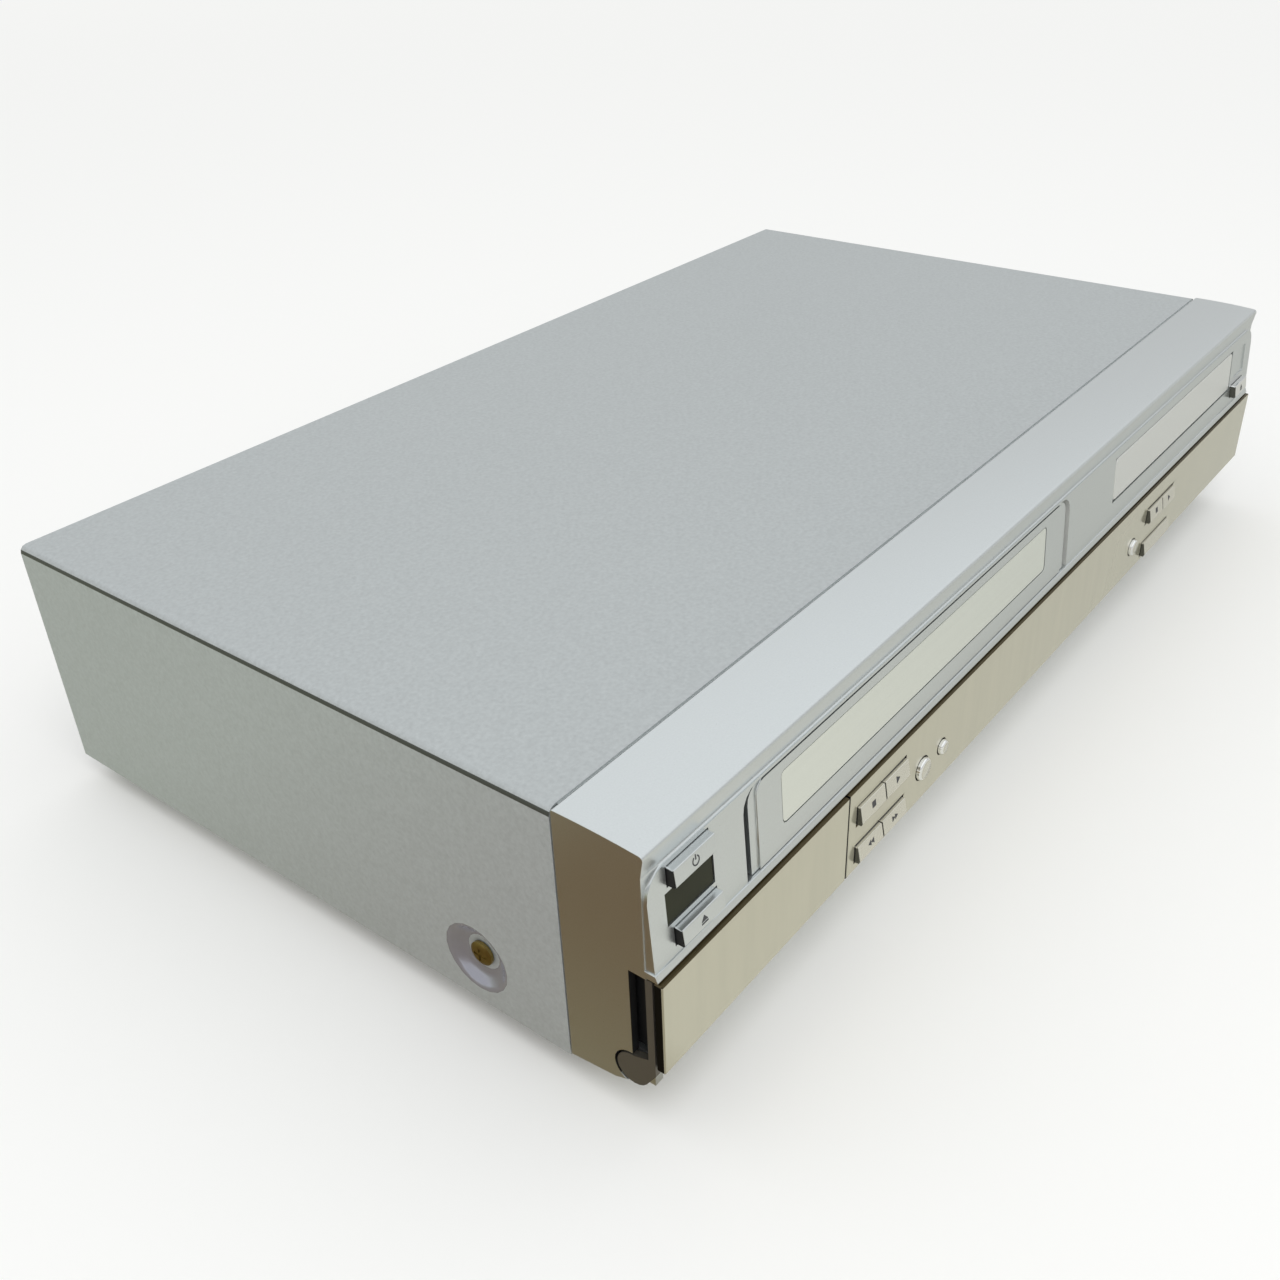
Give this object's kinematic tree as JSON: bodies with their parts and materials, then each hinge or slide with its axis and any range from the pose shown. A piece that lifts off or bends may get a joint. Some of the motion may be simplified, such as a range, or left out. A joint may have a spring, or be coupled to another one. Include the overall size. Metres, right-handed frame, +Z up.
{
  "type": "disc and cassette deck",
  "caption": "Low silver home deck with a swing-in cassette flap, a disc drawer, a flip-down jack door, push keys on a half-mirror panel and its tape and disc mechanisms inside.",
  "frame": {"origin": "centre of the footprint, on the floor plane under the feet", "axes": "+X along the front to the right as seen from in front, -Y out of the front, +Z up"},
  "size_m": [0.43, 0.264, 0.09],
  "materials": {
    "cover_paint": "fine textured silver-grey paint",
    "bezel_paint": "satin silver paint on moulded plastic",
    "half_mirror": "champagne half-mirror acrylic",
    "brushed_inlay": "fine brushed foil",
    "chrome_plate": "bright plated plastic",
    "dark_window": "dark tinted window",
    "door_carrier": "satin painted plastic",
    "zinc_yellow": "yellow passivated steel",
    "plated_steel": "zinc plated steel",
    "polished_metal": "machined and polished",
    "polished_steel": "ground steel",
    "black_plastic": "moulded black plastic",
    "natural_plastic": "natural acetal",
    "circuit_board": "green lacquered board",
    "soft_rubber": "moulded rubber"
  },
  "bodies": {
    "cabinet": {"ac_inlet": "black_plastic", "audio_head": "polished_metal", "bottom_chassis": "plated_steel", "cover_screw_left": "zinc_yellow", "cover_screw_right": "zinc_yellow", "deck_plate": "plated_steel", "disc_clamp": "plated_steel", "display_module": "dark_window", "erase_head": "polished_metal", "foot_front_left": "soft_rubber", "foot_front_right": "soft_rubber", "foot_rear_left": "soft_rubber", "foot_rear_right": "soft_rubber", "front_bezel": "bezel_paint", "front_board": "circuit_board", "front_jack_block": "black_plastic", "guide_rod_left": "polished_steel", "guide_rod_right": "polished_steel", "jack_pocket": "bezel_paint", "loader_frame": "black_plastic", "lower_drum": "polished_metal", "lower_panel": "half_mirror", "main_board": "circuit_board", "power_board": "circuit_board", "rear_jack_block": "black_plastic", "rear_panel": "plated_steel", "rear_screw_left": "zinc_yellow", "rear_screw_mid": "zinc_yellow", "rear_screw_right": "zinc_yellow", "sensor_window": "dark_window", "switch_board": "circuit_board", "top_cover": "cover_paint", "tuner_box": "plated_steel"},
    "flap": {"cassette_flap": "bezel_paint", "flap_inlay": "brushed_inlay"},
    "drawer": {"disc_tray": "black_plastic", "tray_front": "bezel_paint"},
    "jack_door": {"jack_door_frame": "door_carrier", "jack_door_panel": "half_mirror"},
    "holder": {"cassette_holder": "plated_steel"},
    "drum": {"upper_drum": "polished_metal"},
    "supply": {"supply_reel": "natural_plastic"},
    "takeup": {"takeup_reel": "natural_plastic"},
    "capstan_rotor": {"capstan": "plated_steel"},
    "pinch": {"pinch_roller": "soft_rubber"},
    "spindle": {"turntable": "black_plastic"},
    "pickup": {"pickup_sled": "black_plastic"},
    "stop_button": {"stop_button": "chrome_plate"},
    "play_button": {"play_button": "chrome_plate"},
    "rewind_button": {"rewind_button": "chrome_plate"},
    "forward_button": {"forward_button": "chrome_plate"},
    "record_button": {"record_button": "chrome_plate"},
    "select_button": {"select_button": "chrome_plate"},
    "disc_select_button": {"disc_select_button": "chrome_plate"},
    "disc_stop_button": {"disc_stop_button": "chrome_plate"},
    "disc_play_button": {"disc_play_button": "chrome_plate"},
    "disc_skip_button": {"disc_skip_button": "chrome_plate"},
    "power_button": {"power_button": "chrome_plate"},
    "eject_button": {"eject_button": "chrome_plate"},
    "open_close_button": {"open_close_button": "chrome_plate"}
  },
  "joints": [
    {"name": "flap_swing", "type": "hinge", "parent": "cabinet", "child": "flap", "pos_m": [-0.0792, -0.1208, 0.084], "axis": [1, 0, 0], "range_deg": [0, 106], "stiffness_Nm_per_rad": 0.004, "springref_deg": -17.19},
    {"name": "drawer_slide", "type": "slide", "parent": "cabinet", "child": "drawer", "axis": [0, -1, 0], "range_m": [0, 0.138]},
    {"name": "jack_door_swing", "type": "hinge", "parent": "cabinet", "child": "jack_door", "pos_m": [-0.1725, -0.12, 0.0176], "axis": [1, 0, 0], "range_deg": [0, 90]},
    {"name": "holder_slide", "type": "slide", "parent": "cabinet", "child": "holder", "axis": [0, 1, 0], "range_m": [0, 0.045]},
    {"name": "drum_spin", "type": "hinge", "parent": "cabinet", "child": "drum", "pos_m": [-0.0792, 0.08, 0.044], "axis": [0, 0.1028, 0.9947], "continuous": true},
    {"name": "supply_spin", "type": "hinge", "parent": "cabinet", "child": "supply", "pos_m": [-0.1252, -0.008, 0.03], "axis": [0, 0, 1], "continuous": true},
    {"name": "takeup_spin", "type": "hinge", "parent": "cabinet", "child": "takeup", "pos_m": [-0.0332, -0.008, 0.03], "axis": [0, 0, 1], "continuous": true},
    {"name": "capstan_spin", "type": "hinge", "parent": "cabinet", "child": "capstan_rotor", "pos_m": [-0.031, 0.052, 0.03], "axis": [0, 0, 1], "continuous": true},
    {"name": "pinch_spin", "type": "hinge", "parent": "cabinet", "child": "pinch", "pos_m": [-0.0165, 0.056, 0.046], "axis": [0, 0, 1], "continuous": true},
    {"name": "spindle_spin", "type": "hinge", "parent": "cabinet", "child": "spindle", "pos_m": [0.12425, -0.05, 0.06], "axis": [0, 0, 1], "continuous": true},
    {"name": "pickup_slide", "type": "slide", "parent": "cabinet", "child": "pickup", "axis": [0, 1, 0], "range_m": [0, 0.034]},
    {"name": "stop_press", "type": "slide", "parent": "cabinet", "child": "stop_button", "axis": [0, 1, 0], "range_m": [0, 0.0012], "stiffness_N_per_m": 800},
    {"name": "play_press", "type": "slide", "parent": "cabinet", "child": "play_button", "axis": [0, 1, 0], "range_m": [0, 0.0012], "stiffness_N_per_m": 800},
    {"name": "rewind_press", "type": "slide", "parent": "cabinet", "child": "rewind_button", "axis": [0, 1, 0], "range_m": [0, 0.0012], "stiffness_N_per_m": 800},
    {"name": "forward_press", "type": "slide", "parent": "cabinet", "child": "forward_button", "axis": [0, 1, 0], "range_m": [0, 0.0012], "stiffness_N_per_m": 800},
    {"name": "record_press", "type": "slide", "parent": "cabinet", "child": "record_button", "axis": [0, 1, 0], "range_m": [0, 0.0012], "stiffness_N_per_m": 800},
    {"name": "select_press", "type": "slide", "parent": "cabinet", "child": "select_button", "axis": [0, 1, 0], "range_m": [0, 0.0012], "stiffness_N_per_m": 800},
    {"name": "disc_select_press", "type": "slide", "parent": "cabinet", "child": "disc_select_button", "axis": [0, 1, 0], "range_m": [0, 0.0012], "stiffness_N_per_m": 800},
    {"name": "disc_stop_press", "type": "slide", "parent": "cabinet", "child": "disc_stop_button", "axis": [0, 1, 0], "range_m": [0, 0.0012], "stiffness_N_per_m": 800},
    {"name": "disc_play_press", "type": "slide", "parent": "cabinet", "child": "disc_play_button", "axis": [0, 1, 0], "range_m": [0, 0.0012], "stiffness_N_per_m": 800},
    {"name": "disc_skip_press", "type": "slide", "parent": "cabinet", "child": "disc_skip_button", "axis": [0, 1, 0], "range_m": [0, 0.0012], "stiffness_N_per_m": 800},
    {"name": "power_press", "type": "slide", "parent": "cabinet", "child": "power_button", "axis": [0, 1, 0], "range_m": [0, 0.001], "stiffness_N_per_m": 800},
    {"name": "eject_press", "type": "slide", "parent": "cabinet", "child": "eject_button", "axis": [0, 1, 0], "range_m": [0, 0.001], "stiffness_N_per_m": 800},
    {"name": "open_close_press", "type": "slide", "parent": "cabinet", "child": "open_close_button", "axis": [0, 1, 0], "range_m": [0, 0.001], "stiffness_N_per_m": 800}
  ]
}
